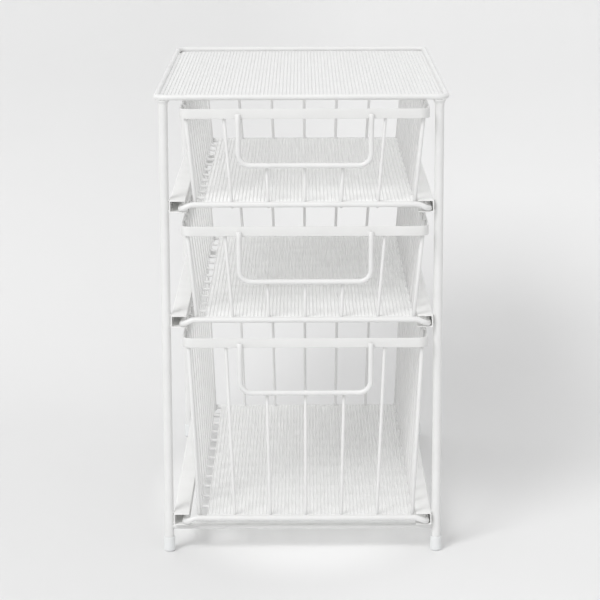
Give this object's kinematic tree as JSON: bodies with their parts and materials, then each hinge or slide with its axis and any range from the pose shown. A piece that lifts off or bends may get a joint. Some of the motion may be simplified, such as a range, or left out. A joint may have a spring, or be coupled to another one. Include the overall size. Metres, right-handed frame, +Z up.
{
  "type": "wire drawer organizer",
  "caption": "Free-standing steel wire organizer with stacked pull-out baskets on side rails, loop handles, a fine mesh top and push-on plastic feet.",
  "frame": {"origin": "on the floor, under the middle of the box that holds the whole object, handles included", "axes": "+X to the right seen from the front, +Y to the back, +Z up; the handles are on the -Y side"},
  "size_m": [0.286, 0.4586, 0.46],
  "materials": {
    "paint": "satin",
    "foot": "translucent satin"
  },
  "bodies": {
    "frame": {"top_loop": "paint", "top_mesh": "paint", "cross_rod_front": "paint", "cross_rod_back": "paint", "leg_front_left": "paint", "foot_front_left": "foot", "leg_front_right": "paint", "foot_front_right": "foot", "leg_back_left": "paint", "foot_back_left": "foot", "leg_back_right": "paint", "foot_back_right": "foot", "upper_rail_left": "paint", "upper_rail_right": "paint", "middle_rail_left": "paint", "middle_rail_right": "paint", "lower_rail_left": "paint", "lower_rail_right": "paint"},
    "upper_basket": {"upper_rim_band": "paint", "upper_handle": "paint", "upper_slide_frame": "paint", "upper_long_wires": "paint", "upper_side_hoops": "paint", "upper_corner_posts": "paint", "upper_floor_mesh": "paint"},
    "middle_basket": {"middle_rim_band": "paint", "middle_handle": "paint", "middle_slide_frame": "paint", "middle_long_wires": "paint", "middle_side_hoops": "paint", "middle_corner_posts": "paint", "middle_floor_mesh": "paint"},
    "lower_basket": {"lower_rim_band": "paint", "lower_handle": "paint", "lower_slide_frame": "paint", "lower_long_wires": "paint", "lower_side_hoops": "paint", "lower_corner_posts": "paint", "lower_floor_mesh": "paint"}
  },
  "joints": [
    {"name": "upper_basket_slide", "type": "slide", "parent": "frame", "child": "upper_basket", "axis": [0, -1, 0], "range_m": [0, 0.29]},
    {"name": "middle_basket_slide", "type": "slide", "parent": "frame", "child": "middle_basket", "axis": [0, -1, 0], "range_m": [0, 0.29]},
    {"name": "lower_basket_slide", "type": "slide", "parent": "frame", "child": "lower_basket", "axis": [0, -1, 0], "range_m": [0, 0.29]}
  ]
}
